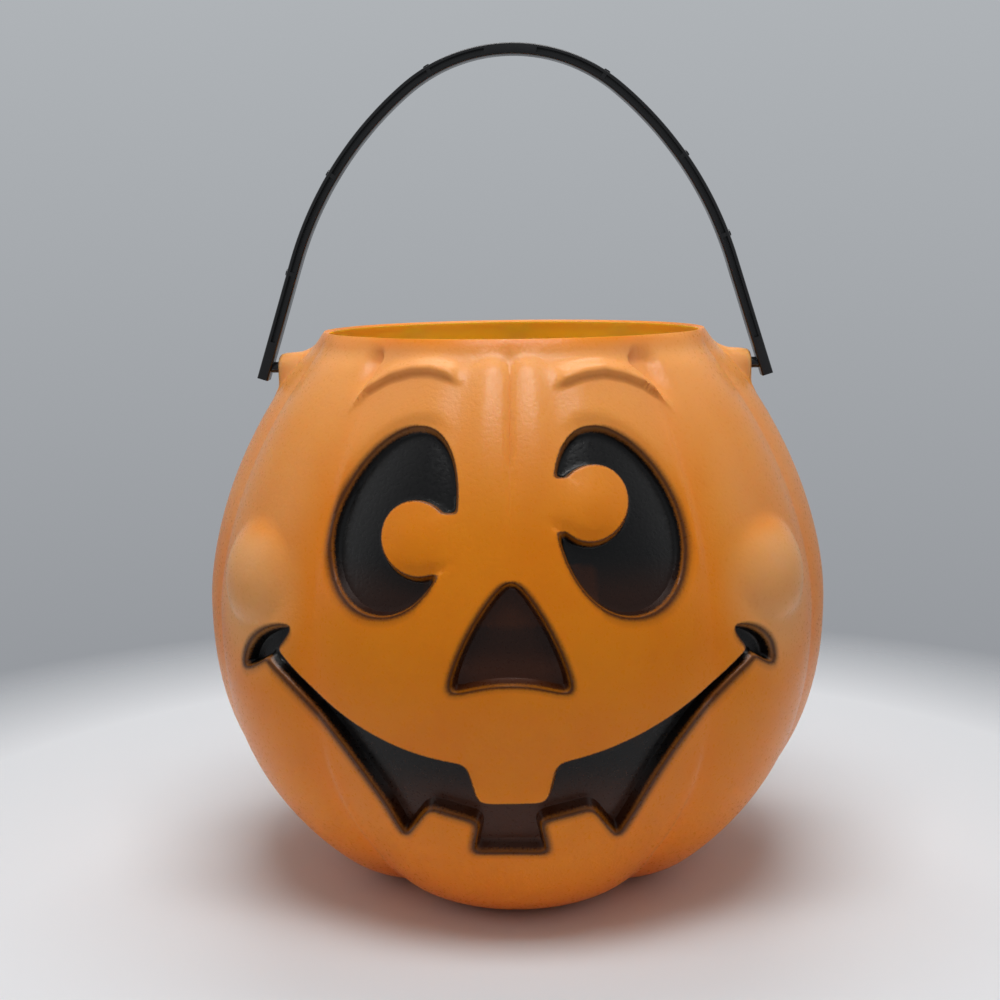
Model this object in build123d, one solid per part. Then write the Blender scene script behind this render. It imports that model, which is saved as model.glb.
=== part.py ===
from build123d import *
from math import cos, hypot, pi, radians, sin, sqrt
import os

# Millimetres. The base stands on Z = 0, the face looks towards -Y, the pegs lie along X.

# Pail shell: one blow moulding with a thin wall
pail_height = 190
belly_radius = 109
belly_height = 97
wall = 1.2
lobe_count = 10
lobe_angle = 2 * pi / lobe_count
crease_depth_belly = 3.6
crease_depth_low = 6
forehead_groove = 1.6
chin_reach = 8
chin_spread = radians(6)
base_corner = 9
stations = (0, 0.6, 2, 4.5, 8, 14, 28, 48, 72, 97, 122, 145, 163, 175, 182, 187, 191, 197)

# Face: recesses that follow the wall inwards
recess_depth = 4.2
eye_length = 58.6
eye_width = 36.6
eye_fullness = 0.12
eye_tilt = 22.2
left_eye = (-34.9, 137.5)
right_eye = (32.4, 137.2)
pupil_radius = 11
left_pupil = (-28.2, 132.8)
right_pupil = (24.9, 142.8)
nose_height = 99.3
nose_reach = 11
brow_height = 1.3
cheek_radius = 32
cheek_rise = 3
cheek_angle = radians(50)
cheek_height = 115

# Handle sockets on the shoulders
pivot_height = 177.6
socket_end = 83
socket_radius = 5
socket_edge = 2.4
socket_flare = ((58, 17), (66, 11.3), (69.5, 8.4), (72.5, 6.2), (76, 5.2))
peg_radius = 2
peg_clearance = 0.08

# Base: recessed middle inside a flat ring, with the weld line of the moulding
punt_radius = 34
punt_height = 3
weld_length = 48

# Carry handle: strap with a channel down each side
strap_thickness = 3.8
strap_width = 8
crown_height = 285.6
crown_radius = 57
crown_angle = radians(39.6)
haunch_radius = 125.2
leg_angle = radians(72.4)
leg_overrun = 4.2
channel_width = 1.6
channel_depth = 2.8
channel_start = 9
crown_grip = 9
nub_radius = 1.3
nub_rise = 0.7
nub_places = (0.125, 0.245, 0.405, 0.61, 0.735, 0.835)
barb_radius = 2.9


def crest_radius(z):
    """Radius of the lobe tops at height z."""
    if z < belly_height:
        radius = belly_radius * (1 - ((belly_height - z) / 118) ** 2.43) ** 0.696
    else:
        radius = belly_radius * sqrt(1 - ((z - belly_height) / 121.5) ** 1.69)
    if z < base_corner:
        radius -= base_corner - sqrt(base_corner**2 - (base_corner - z) ** 2)
    return radius


def ease(t):
    t = min(max(t, 0), 1)
    return t * t * (3 - 2 * t)


def crease_depth(z):
    """Depth of the valleys between the lobes: deepest at the base, run out at the rim."""
    depth = crease_depth_belly + (crease_depth_low - crease_depth_belly) * ease((60 - z) / 60)
    return depth * ease((pail_height + 2 - z) / 16)


def inset_point(z, inset):
    """Crest point moved square to the wall: its radius and height."""
    if z == 0:
        return crest_radius(0), inset
    step = min(0.2, z / 2)
    slope = (crest_radius(z + step) - crest_radius(z - step)) / (2 * step)
    square = hypot(1, slope)
    return crest_radius(z) - inset / square, z + inset * slope / square


def arc_through(phi, top, valley, half):
    """Radius at angle phi on the arc with its top at 0 and its valleys at +-half."""
    centre = (top**2 - valley**2) / (2 * (top - valley * cos(half)))
    return centre * cos(phi) + sqrt((top - centre) ** 2 - (centre * sin(phi)) ** 2)


def around(radius, angle, z):
    return (radius * sin(angle), -radius * cos(angle), z)


def body_section(z, inset):
    top, height = inset_point(z, inset)
    valley = top - crease_depth(z)
    chin = top + chin_reach * ease((45 - z) / 45)
    forehead = chin - forehead_groove * ease((z - 140) / 35) * ease((pail_height + 2 - z) / 16)
    creases = [lobe * lobe_angle for lobe in range(lobe_count + 1)]
    creases[1] += chin_spread * ease((25 - z) / 25)
    creases[-2] = 2 * pi - creases[1]
    panel = arc_through(creases[1] / 2, chin, valley, creases[1])
    arcs = []
    for lobe in range(lobe_count):
        first = forehead if lobe == 0 else valley
        last = forehead if lobe == lobe_count - 1 else valley
        middle = panel if lobe in (0, lobe_count - 1) else top
        arcs.append(
            ThreePointArc(
                around(first, creases[lobe], height),
                around(middle, (creases[lobe] + creases[lobe + 1]) / 2, height),
                around(last, creases[lobe + 1], height),
            )
        )
    return Wire(arcs)


def body(inset):
    """Lobed body, inset square to its surface and carried on past the rim."""
    return Solid.make_loft([body_section(z, inset) for z in stations])


def eye(centre, side, pupil, neck, grow):
    """Egg-shaped eye leaning to the nose, with a keyhole pupil left standing."""
    tilt = radians(eye_tilt)
    outline = []
    for step in range(12):
        turn = 2 * pi * step / 12
        along = (eye_length / 2 + grow) * cos(turn)
        across = (eye_width / 2 + grow) * sin(turn) * (1 - eye_fullness * cos(turn))
        outline.append(
            (
                centre[0] + side * (across * cos(tilt) - along * sin(tilt)),
                centre[1] + along * cos(tilt) + across * sin(tilt),
            )
        )
    shape = make_face(Spline(outline, periodic=True))
    low, high = neck
    shape -= Pos(*pupil) * Circle(pupil_radius - grow)
    shape -= Pos(pupil[0] - side * 15, (low + high) / 2) * Rectangle(30, high - low - 2 * grow)
    return shape


def nose(grow):
    """Rounded triangle, drawn about its own middle."""
    shape = make_face(
        ThreePointArc((0.4, 24), (-11.6, 8.2), (-19.6, -13))
        + ThreePointArc((-19.6, -13), (0, -8.6), (19.2, -13))
        + ThreePointArc((19.2, -13), (11.5, 8.2), (0.4, 24))
    )
    shape = fillet(shape.vertices(), 3.6)
    return Pos(0, nose_height) * scale(shape, 1 + grow / nose_reach)


def mouth(grow):
    """Smile with one upper and two lower teeth, and a dimple at each corner."""
    smile = make_face(
        ThreePointArc((-76.7, 97.4), (-46.7, 73.8), (-13.9, 64.9))
        + Polyline((-13.9, 64.9), (-10.6, 51.2), (10.6, 51.6), (13.6, 65.2))
        + ThreePointArc((13.6, 65.2), (45.8, 75.4), (75.8, 96.3))
        + Line((75.8, 96.3), (76.8, 91.9))
        + ThreePointArc((76.8, 91.9), (56.2, 74.1), (38.3, 46.5))
        + Polyline((38.3, 46.5), (32.4, 35.2), (24.5, 48.7), (8, 44.8), (10.6, 32.1))
        + ThreePointArc((10.6, 32.1), (-0.9, 32.8), (-12.8, 32.1))
        + Polyline((-12.8, 32.1), (-10.3, 44.4), (-26.1, 48.7), (-34.4, 35.3), (-39.5, 47.1))
        + ThreePointArc((-39.5, 47.1), (-56, 70.5), (-78.7, 91))
        + Line((-78.7, 91), (-76.7, 97.4))
    )
    smile = fillet(smile.vertices().filter_by(lambda v: abs(v.X) < 36), 1.8)
    left = make_face(
        ThreePointArc((-68.8, 102.9), (-81.2, 98.4), (-87.3, 85.4))
        + ThreePointArc((-87.3, 85.4), (-77.2, 91.9), (-68.8, 102.9))
    )
    right = make_face(
        ThreePointArc((68.4, 102.3), (78.8, 98.4), (82.7, 87.1))
        + ThreePointArc((82.7, 87.1), (75.3, 92.4), (68.4, 102.3))
    )
    shape = smile + left + right
    return offset(shape, grow) if grow else shape


def face_prism(grow):
    """The face outlines carried forwards from the middle of the pail."""
    outlines = [
        eye(left_eye, -1, left_pupil, (122.6, 140.5), grow),
        eye(right_eye, 1, right_pupil, (135, 150.5), grow),
        nose(grow),
        mouth(grow),
    ]
    return [extrude(Plane.XZ * outline, amount=130) for outline in outlines]


def brow(side):
    crescent = make_face(
        ThreePointArc((side * 15, 177.2), (side * 30, 182), (side * 52, 168.5))
        + ThreePointArc((side * 52, 168.5), (side * 30, 178.8), (side * 15, 177.2))
    )
    return extrude(Plane.XZ * crescent, amount=130)


def cheek(side, radius):
    place = around(belly_radius + cheek_rise - cheek_radius, side * cheek_angle, cheek_height)
    return Pos(*place) * Sphere(radius)


def socket(side, inset):
    """Arched socket that flares into the shoulder and runs down it."""
    steps = [(x - 0.45 * inset, radius - inset) for x, radius in socket_flare]
    steps.append((socket_end - inset, socket_radius - inset))
    arches = []
    for x, radius in steps:
        arch = Circle(radius) + Pos(0, -10) * Rectangle(2 * radius, 20)
        arches.append(Plane.YZ.offset(x) * Pos(0, pivot_height) * arch)
    shape = loft(arches)
    if inset == 0:
        shape = fillet(shape.edges().group_by(Axis.X)[-1], socket_edge)
    return shape if side > 0 else mirror(shape, about=Plane.YZ)


def turned(radius, start, end, side):
    """Round bar along X about the pivot, from start to end."""
    bar = Plane.YZ.offset(start) * Pos(0, pivot_height) * Circle(radius)
    bar = extrude(bar, amount=end - start)
    return bar if side > 0 else mirror(bar, about=Plane.YZ)


def make_shell():
    outside = body(0)
    raised = body(-brow_height)
    floor = body(recess_depth)
    inside = body(wall)
    floor_inside = body(recess_depth + wall)

    for side in (-1, 1):
        outside = outside + cheek(side, cheek_radius) + socket(side, 0)
        outside = outside + (raised & brow(side))
        inside = inside + cheek(side, cheek_radius - wall) + socket(side, wall)
    for prism in face_prism(0):
        outside = outside - (prism - floor)
    for prism in face_prism(wall):
        inside = inside - (prism - floor_inside)

    punt = Pos(0, 0, punt_height / 2) * Cone(punt_radius, punt_radius - 5, punt_height)
    weld = Pos(0, 0, punt_height) * Box(1.2, weld_length, 1.6)
    outside = outside - (punt - weld)
    rise = punt_height + wall
    inside = inside - Pos(0, 0, rise / 2) * Cone(punt_radius + wall, punt_radius + wall - 5, rise)

    shell = outside - inside
    for side in (-1, 1):
        shell = shell - turned(peg_radius + peg_clearance, socket_end - 8, socket_end + 2, side)
    shell = shell & Pos(0, 0, pail_height / 2) * Box(300, 300, pail_height)
    return shell


def strap_path(start):
    """Half of the arch's centreline, from a leg to the crown: points and joins."""
    crown_x = crown_radius * sin(crown_angle)
    crown_z = crown_height - crown_radius * (1 - cos(crown_angle))
    centre_x = crown_x - haunch_radius * sin(crown_angle)
    centre_z = crown_z - haunch_radius * cos(crown_angle)

    def haunch(angle):
        return (centre_x + haunch_radius * sin(angle), centre_z + haunch_radius * cos(angle))

    knee_x, knee_z = haunch(leg_angle)
    reach = (knee_z - start) / sin(leg_angle)
    foot = (knee_x + reach * cos(leg_angle), start)
    return foot, (knee_x, knee_z), haunch((crown_angle + leg_angle) / 2), (crown_x, crown_z)


def strap_wire(start):
    foot, knee, middle, shoulder = strap_path(start)

    def left(point):
        return (-point[0], 0, point[1])

    def right(point):
        return (point[0], 0, point[1])

    return Wire(
        [
            Line(left(foot), left(knee)),
            ThreePointArc(left(knee), left(middle), left(shoulder)),
            ThreePointArc(left(shoulder), (0, 0, crown_height), right(shoulder)),
            ThreePointArc(right(shoulder), right(middle), right(knee)),
            Line(right(knee), right(foot)),
        ]
    )


def make_handle():
    wire = strap_wire(pivot_height - leg_overrun * sin(leg_angle))
    strap_end = Plane(wire @ 0, x_dir=(0, 1, 0), z_dir=wire % 0)
    strap = sweep(strap_end * Rectangle(strap_width, strap_thickness), path=wire)
    strap = fillet(strap.edges().filter_by(lambda e: e.length > 20), 0.5)

    channel_wire = strap_wire(pivot_height + channel_start)
    channel_end = Plane(channel_wire @ 0, x_dir=(0, 1, 0), z_dir=channel_wire % 0)
    spread = strap_width / 2
    groove = Rectangle(2 * channel_depth, channel_width)
    ribs = [Pos(0, 0, crown_height) * Box(2 * crown_grip, 20, 20)]
    for place in nub_places:
        ribs.append(Location(Plane(wire @ place, z_dir=wire % place)) * Box(20, 20, 1.4))
    for side in (-1, 1):
        channel = sweep(channel_end * Pos(side * spread, 0) * groove, path=channel_wire)
        strap = strap - (channel - ribs)

    for place in nub_places:
        outward = Vector(0, 1, 0).cross(wire % place)
        seat = Plane(wire @ place, z_dir=outward)
        strap = strap + seat * extrude(Circle(nub_radius), amount=strap_thickness / 2 + nub_rise)

    for side in (-1, 1):
        foot_x = strap_path(pivot_height)[0][0]
        tip = socket_end - wall - 2.6
        strap = strap + turned(peg_radius, tip, foot_x, side)
        barb = Plane.YZ.offset(tip + 1) * Pos(0, pivot_height) * Cone(1.7, barb_radius, 2)
        strap = strap + (barb if side > 0 else mirror(barb, about=Plane.YZ))
    return strap


os.makedirs("parts", exist_ok=True)
export_step(make_shell(), "parts/pail_shell.step")
export_step(make_handle(), "parts/carry_handle.step")
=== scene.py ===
import math

import bmesh
import bpy
import numpy as np
from mathutils import Matrix, Vector
from mathutils.geometry import delaunay_2d_cdt
from mathutils.kdtree import KDTree


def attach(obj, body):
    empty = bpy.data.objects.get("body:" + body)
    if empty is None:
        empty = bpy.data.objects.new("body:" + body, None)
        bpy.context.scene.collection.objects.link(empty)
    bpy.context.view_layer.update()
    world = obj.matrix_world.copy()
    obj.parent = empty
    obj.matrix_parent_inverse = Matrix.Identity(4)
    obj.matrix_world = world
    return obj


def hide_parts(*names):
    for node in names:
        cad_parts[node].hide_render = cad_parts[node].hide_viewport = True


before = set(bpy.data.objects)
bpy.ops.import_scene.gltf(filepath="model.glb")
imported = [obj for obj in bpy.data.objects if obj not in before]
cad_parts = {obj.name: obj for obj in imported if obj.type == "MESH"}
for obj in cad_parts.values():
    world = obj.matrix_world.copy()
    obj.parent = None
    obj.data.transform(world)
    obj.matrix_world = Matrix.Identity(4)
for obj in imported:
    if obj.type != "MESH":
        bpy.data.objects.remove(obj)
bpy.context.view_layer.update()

MM = 0.001

# Pail body, in millimetres: the base stands on Z = 0 and the face looks towards -Y
PAIL_HEIGHT = 190.0
BELLY_RADIUS = 109.0
BELLY_HEIGHT = 97.0
WALL = 1.2
LOBE = math.radians(36)
CREASE_BELLY = 3.6
CREASE_LOW = 6.0
CREASE_ROUNDING = 1.1
BASE_CORNER = 9.0
RIM_EDGE = 1.65
RIM_EASE = 0.3
CHIN_REACH = 8.0
CHIN_SPREAD = math.radians(6)
PUNT_HEIGHT = 3.0

# Face
RECESS_DEPTH = 4.2
EYE_LENGTH = 58.6
EYE_WIDTH = 36.6
EYE_FULLNESS = 0.12
EYE_TILT = math.radians(22.2)
LEFT_EYE = (-34.9, 137.5)
RIGHT_EYE = (32.4, 137.2)
PUPIL_RADIUS = 11.0
LEFT_PUPIL = (-28.2, 132.8)
RIGHT_PUPIL = (24.9, 142.8)
LEFT_NECK = (122.6, 140.5)
RIGHT_NECK = (135.0, 150.5)
EYE_BEVEL = 1.2
NOSE_HEIGHT = 99.3
BROW_HEIGHT = 2.4
CHEEK_RADIUS = 26.0
CHEEK_RISE = 2.8
CHEEK_ANGLE = math.radians(52.5)
CHEEK_HEIGHT = 112.5
FOREHEAD_GROOVE = 1.6

# Handle sockets and pegs
PIVOT_HEIGHT = 177.6
SOCKET_END = 83.0
SOCKET_RADIUS = 5.0
SOCKET_EDGE = 2.4
PEG_RADIUS = 2.0
HOLE_RADIUS = 2.08
BARB_RADIUS = 2.9

# Carry handle
STRAP_THICKNESS = 3.8
STRAP_WIDTH = 8.0
STRAP_CORNER = 0.5
CROWN_HEIGHT = 285.6
CROWN_RADIUS = 57.0
CROWN_ANGLE = math.radians(39.6)
HAUNCH_RADIUS = 125.2
LEG_ANGLE = math.radians(72.4)
LEG_OVERRUN = 4.2
CHANNEL_WIDTH = 1.6
CHANNEL_DEPTH = 2.8
CHANNEL_START = 9.0
CROWN_GRIP = 9.0
RIB_THICKNESS = 1.4
NUB_RADIUS = 1.3
NUB_RISE = 0.7
NUB_PLACES = (0.125, 0.245, 0.405, 0.61, 0.735, 0.835)

# Unrolled wall: U runs round the pail at this radius, V runs up the profile
UNROLL = 100.0
SEAM = math.pi * UNROLL
FACE_SPAN = 112.0
FINE_STEP = 2.2
COARSE_STEP = 4.2


def ease(t):
    t = np.clip(t, 0.0, 1.0)
    return t * t * (3.0 - 2.0 * t)


def bump(t):
    """Soft bell, one at the middle and nearly nothing at t = 2."""
    return np.exp(-t * t)


def smooth_max(a, b, width):
    mix = np.clip(0.5 + 0.5 * (a - b) / width, 0, 1)
    return b + (a - b) * mix + width * mix * (1 - mix)


def crest_radius(z):
    """Radius of the lobe tops at height z."""
    z = np.asarray(z, float)
    away = np.abs(z - BELLY_HEIGHT)
    below = (1 - (np.minimum(away, 97) / 118) ** 2.43) ** 0.696
    above = np.sqrt(1 - (away / 121.5) ** 1.69)
    radius = BELLY_RADIUS * np.where(z < BELLY_HEIGHT, below, above)
    corner = np.clip(BASE_CORNER - z, 0, BASE_CORNER)
    return radius - (BASE_CORNER - np.sqrt(BASE_CORNER**2 - corner**2))


def crease_depth(z):
    depth = CREASE_BELLY + (CREASE_LOW - CREASE_BELLY) * ease((60 - z) / 60)
    return depth * ease((PAIL_HEIGHT + 2 - z) / 16)


# Profile of the lobe tops, by its own length from the base edge to the rim
PROFILE_Z = PAIL_HEIGHT * np.linspace(0, 1, 1500) ** 1.6
PROFILE_R = crest_radius(PROFILE_Z)
PROFILE_V = np.concatenate([[0], np.cumsum(np.hypot(np.diff(PROFILE_R), np.diff(PROFILE_Z)))])
RIM_V = PROFILE_V[-1]
SLOPE_R = np.gradient(PROFILE_R, PROFILE_V)
SLOPE_Z = np.gradient(PROFILE_Z, PROFILE_V)


def along_profile(values, v):
    return np.interp(v, PROFILE_V, values)


def at_height(z):
    return np.interp(z, PROFILE_Z, PROFILE_V)


def lobe_arc(phi, top, valley, half):
    """Radius at angle phi on the arc with its top at 0 and its valleys at +-half."""
    centre = (top**2 - valley**2) / (2 * (top - valley * np.cos(half)))
    return centre * np.cos(phi) + np.sqrt((top - centre) ** 2 - (centre * np.sin(phi)) ** 2)


def front_crease(z):
    """Angle of the crease on each side of the face panel, which spreads at the chin."""
    return LOBE + CHIN_SPREAD * ease((25 - z) / 25)


def body_radius(theta, v, inset=0.0):
    """Lobed wall without the face: angle from the front, distance up the profile."""
    z = along_profile(PROFILE_Z, v)
    top = along_profile(PROFILE_R, v) - inset * along_profile(SLOPE_Z, v)
    valley = top - crease_depth(z)
    turn = np.abs((theta + np.pi) % (2 * np.pi) - np.pi)
    edge = front_crease(z)
    front = turn < edge
    low = np.where(front, -edge, np.where(turn < 2 * LOBE, edge, np.floor(turn / LOBE) * LOBE))
    high = np.where(front, edge, np.where(turn < 2 * LOBE, 2 * LOBE, low + LOBE))
    half = (high - low) / 2
    rounding = CREASE_ROUNDING / UNROLL
    to_crease = np.sqrt(np.minimum(turn - low, high - turn) ** 2 + rounding**2) - 0.3 * rounding
    top = top + front * CHIN_REACH * ease((45 - z) / 45)
    radius = lobe_arc(np.maximum(half - to_crease, 0), top, valley, half)
    groove = FOREHEAD_GROOVE * ease((z - 140) / 35) * ease((PAIL_HEIGHT + 2 - z) / 16)
    return radius - front * groove * np.clip(1 - turn / (LOBE / 2), 0, 1) ** 1.5


def unroll(points):
    """Points drawn on the front view, x and z, laid on the unrolled wall."""
    points = np.asarray(points, float)
    x, z = points[:, 0], points[:, 1]
    v = at_height(z)
    theta = np.arcsin(x / BELLY_RADIUS)
    for _ in range(30):
        theta = np.arcsin(np.clip(x / body_radius(theta, v), -1, 1))
    return np.stack([theta * UNROLL, v], -1)


def arc(start, middle, end, count=24):
    """Points along the circle through three points."""
    (ax, ay), (bx, by), (cx, cy) = start, middle, end
    d = 2 * (ax * (by - cy) + bx * (cy - ay) + cx * (ay - by))
    ux = ((ax**2 + ay**2) * (by - cy) + (bx**2 + by**2) * (cy - ay) + (cx**2 + cy**2) * (ay - by)) / d
    uy = ((ax**2 + ay**2) * (cx - bx) + (bx**2 + by**2) * (ax - cx) + (cx**2 + cy**2) * (bx - ax)) / d
    first, via, last = (math.atan2(p[1] - uy, p[0] - ux) for p in (start, middle, end))
    turn = (last - first) % (2 * math.pi)
    if (via - first) % (2 * math.pi) > turn:
        turn -= 2 * math.pi
    angles = first + np.linspace(0, turn, count)
    radius = math.hypot(ax - ux, ay - uy)
    return [(ux + radius * math.cos(a), uy + radius * math.sin(a)) for a in angles]


def walked(outline, step):
    """The closed outline again, with points at an even distance."""
    outline = np.asarray(outline, float)
    closed = np.vstack([outline, outline[:1]])
    run = np.concatenate([[0], np.cumsum(np.hypot(*np.diff(closed, axis=0).T))])
    places = np.linspace(0, run[-1], max(int(run[-1] / step), 12), endpoint=False)
    return np.stack([np.interp(places, run, closed[:, i]) for i in (0, 1)], -1)


def softened(outline, spread):
    """The closed outline with its corners eased, as by a brush this wide."""
    fine = walked(outline, 0.4)
    shifts = range(-int(3 * spread / 0.4), int(3 * spread / 0.4) + 1)
    weights = [math.exp(-0.5 * (0.4 * shift / spread) ** 2) for shift in shifts]
    moved = sum(weight * np.roll(fine, shift, axis=0) for shift, weight in zip(shifts, weights))
    return moved / sum(weights)


def distance_to(points, outline):
    """Signed distance to a closed outline, negative inside."""
    a = outline
    b = np.roll(outline, -1, axis=0)
    edge = (b - a)[None]
    length = np.maximum((edge**2).sum(-1), 1e-12)
    result = np.empty(len(points))
    for start in range(0, len(points), 4000):
        p = points[start:start + 4000, None, :]
        t = np.clip(((p - a) * edge).sum(-1) / length, 0, 1)
        near = np.sqrt((((p - a) - t[..., None] * edge) ** 2).sum(-1)).min(1)
        px, py = p[..., 0], p[..., 1]
        slant = (b[:, 0] - a[:, 0]) / (b[:, 1] - a[:, 1] + 1e-12)
        crossing = ((a[:, 1] > py) != (b[:, 1] > py)) & (px < slant * (py - a[:, 1]) + a[:, 0])
        result[start:start + 4000] = np.where(crossing.sum(1) % 2 == 1, -near, near)
    return result


def eye_outlines(centre, side, pupil, neck):
    """The egg of the eye and the keyhole pupil that stands in it."""
    turn = np.linspace(0, 2 * math.pi, 96, endpoint=False)
    along = EYE_LENGTH / 2 * np.cos(turn)
    across = EYE_WIDTH / 2 * np.sin(turn) * (1 - EYE_FULLNESS * np.cos(turn))
    cos_t, sin_t = math.cos(EYE_TILT), math.sin(EYE_TILT)
    egg = np.stack([centre[0] + side * (across * cos_t - along * sin_t),
                    centre[1] + along * cos_t + across * sin_t], -1)
    low, high = neck
    top = math.asin((high - pupil[1]) / PUPIL_RADIUS)
    bottom = math.asin((low - pupil[1]) / PUPIL_RADIUS)
    disc = [(pupil[0] + side * PUPIL_RADIUS * math.cos(a), pupil[1] + PUPIL_RADIUS * math.sin(a))
            for a in np.linspace(math.pi - top, -math.pi - bottom, 60)]
    keyhole = disc + [(pupil[0] - side * 34, low), (pupil[0] - side * 34, high)]
    return walked(unroll(egg), 0.8), walked(unroll(keyhole), 0.8)


def nose_outline():
    sides = (arc((0.4, 24), (-11.6, 8.2), (-19.6, -13), 8)
             + arc((-19.6, -13), (0, -8.6), (19.2, -13), 8)[1:]
             + arc((19.2, -13), (11.5, 8.2), (0.4, 24), 8)[1:-1])
    return [(x, z + NOSE_HEIGHT) for x, z in sides]


def smile_outline():
    """Smile with one upper and two lower teeth."""
    return (arc((-76.7, 97.4), (-46.7, 73.8), (-13.9, 64.9), 16)
            + [(-10.6, 51.2), (10.6, 51.6)]
            + arc((13.6, 65.2), (45.8, 75.4), (75.8, 96.3), 16)
            + arc((76.8, 91.9), (56.2, 74.1), (38.3, 46.5), 16)
            + [(32.4, 35.2), (24.5, 48.7), (8, 44.8)]
            + arc((10.6, 32.1), (-0.9, 32.8), (-12.8, 32.1), 5)
            + [(-10.3, 44.4), (-26.1, 48.7), (-34.4, 35.3)]
            + arc((-39.5, 47.1), (-56, 70.5), (-78.7, 91), 16))


def dimple_outline(tip, outer, foot, inner):
    return arc(tip, outer, foot, 20) + arc(foot, inner, tip, 20)[1:-1]


# The face as a map of distances on the unrolled wall, in cells of this size
CELL = 0.4
MAP_U = np.arange(-FACE_SPAN, FACE_SPAN + CELL, CELL)
MAP_V = np.arange(40, RIM_V, CELL)


def map_distance(outline, reach=9.0):
    """Distances to one outline, worked out near it and large elsewhere."""
    low, high = outline.min(0) - reach, outline.max(0) + reach
    iu = np.where((MAP_U > low[0]) & (MAP_U < high[0]))[0]
    iv = np.where((MAP_V > low[1]) & (MAP_V < high[1]))[0]
    grid = np.full((len(MAP_V), len(MAP_U)), 40.0)
    uu, vv = np.meshgrid(MAP_U[iu], MAP_V[iv])
    values = distance_to(np.stack([uu.ravel(), vv.ravel()], -1), outline)
    grid[iv[0]:iv[-1] + 1, iu[0]:iu[-1] + 1] = values.reshape(uu.shape)
    return grid


def read_map(grid, u, v):
    """Value of a map between its cells."""
    fu = np.clip((u - MAP_U[0]) / CELL, 0, len(MAP_U) - 1.001)
    fv = np.clip((v - MAP_V[0]) / CELL, 0, len(MAP_V) - 1.001)
    iu, iv = fu.astype(int), fv.astype(int)
    tu, tv = fu - iu, fv - iv
    low = grid[iv, iu] * (1 - tu) + grid[iv, iu + 1] * tu
    high = grid[iv + 1, iu] * (1 - tu) + grid[iv + 1, iu + 1] * tu
    return low * (1 - tv) + high * tv


def face_maps():
    """Outlines of the sunken face, and their distance maps: the eyes alone and all of it."""
    outlines = []
    eyes = np.full((len(MAP_V), len(MAP_U)), 40.0)
    for eye in ((LEFT_EYE, -1, LEFT_PUPIL, LEFT_NECK), (RIGHT_EYE, 1, RIGHT_PUPIL, RIGHT_NECK)):
        egg, keyhole = eye_outlines(*eye)
        outlines += [egg, keyhole]
        eyes = np.minimum(eyes, smooth_max(map_distance(egg), -map_distance(keyhole, 30), 1.6))
    nose = walked(unroll(softened(nose_outline(), 4.0)), 0.8)
    smile = walked(unroll(softened(smile_outline(), 2.2)), 0.8)
    left = dimple_outline((-68.8, 102.9), (-81.2, 98.4), (-87.3, 85.4), (-77.2, 91.9))
    right = dimple_outline((68.4, 102.3), (78.8, 98.4), (82.7, 87.1), (75.3, 92.4))
    left, right = (walked(unroll(softened(dimple, 1.6)), 0.8) for dimple in (left, right))
    outlines += [nose, smile, left, right]
    dimples = np.minimum(map_distance(left), map_distance(right))
    mouth = -smooth_max(-map_distance(smile), -dimples, 2.2)
    whole = np.minimum(np.minimum(eyes, map_distance(nose)), mouth)
    return outlines, np.clip(eyes, -20, 9), np.clip(whole, -20, 9)


OUTLINES, EYE_MAP, RECESS_MAP = face_maps()


def on_face(grid, u, v):
    """Distance from a face map, or far away round the sides and back."""
    return np.where((np.abs(u) < FACE_SPAN - 1) & (v > MAP_V[0]), read_map(grid, u, v), 9.0)


def map_slope(grid, u, v, step):
    """How steeply a face map rises along U and along V."""
    along_u = on_face(grid, u + step, v) - on_face(grid, u - step, v)
    along_v = on_face(grid, u, v + step) - on_face(grid, u, v - step)
    return along_u / (2 * step), along_v / (2 * step)


# Crest lines of the two brows, x and z on the front view
LEFT_BROW = unroll([(-52, 167.5), (-44.3, 174.5), (-37.2, 178.5), (-30.2, 180.5), (-24.1, 180.8),
                    (-19, 179.5), (-15, 177.8)])
RIGHT_BROW = unroll([(13, 176.5), (18, 178), (23, 179.3), (29, 179.8), (35, 178.3), (41, 175.7),
                     (46, 172.2), (51.5, 167)])


def brow_lift(u, v):
    """Brow ridges: soft above the crest line, a short step below it."""
    lift = np.zeros_like(u)
    for crest in (LEFT_BROW, RIGHT_BROW):
        above = v - np.interp(u, crest[:, 0], crest[:, 1])
        ends = ease((u - crest[0, 0] + 1) / 8) * ease((crest[-1, 0] + 1 - u) / 8)
        form = np.where(above > 0, ease(1 - above / 8), ease(1 + above / 1.9))
        lift += BROW_HEIGHT * form * ends
    return lift


def forehead_lift(u, z):
    """Two ridges with hollows beside them, and a fine line between them that opens at the top."""
    height = ease((z - 125) / 40) * ease((188 - z) / 6)
    ridges = 1.0 * bump((np.abs(u) - 7.5) / 6.0)
    hollows = -0.6 * bump((np.abs(u) - 19) / 6) * ease((184 - z) / 14)
    depth = (0.1 * ease((z - 115) / 10) + 0.5 * ease((z - 130) / 30)) * ease((188 - z) / 6)
    line = -depth * bump(u / (0.9 + 2.5 * ease((z - 178) / 7)))
    return height * (ridges + hollows) + line


def panel_edge_lift(u, z):
    """Narrow bead along each side of the face panel, beside the crease."""
    ends = ease((z - 116) / 12) * ease((168 - z) / 12) + ease((z - 3) / 12) * ease((70 - z) / 14)
    return 0.6 * bump((np.abs(u) - front_crease(z) * UNROLL + 2.6) / 1.7) * ends


def rim_lift(z):
    """The neck draws in a little and the trimmed rim turns out again."""
    return 0.9 * ease((z - 186) / 3.5) - 0.6 * bump((z - 184.5) / 2.5)


# Where the crease beside the face opens out under the rim: its top and its two lower tips
LEAF_TOP = 187.5
LEAVES = ((-1, 172.0, 0.5), (1, 166.0, 7.5))


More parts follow.
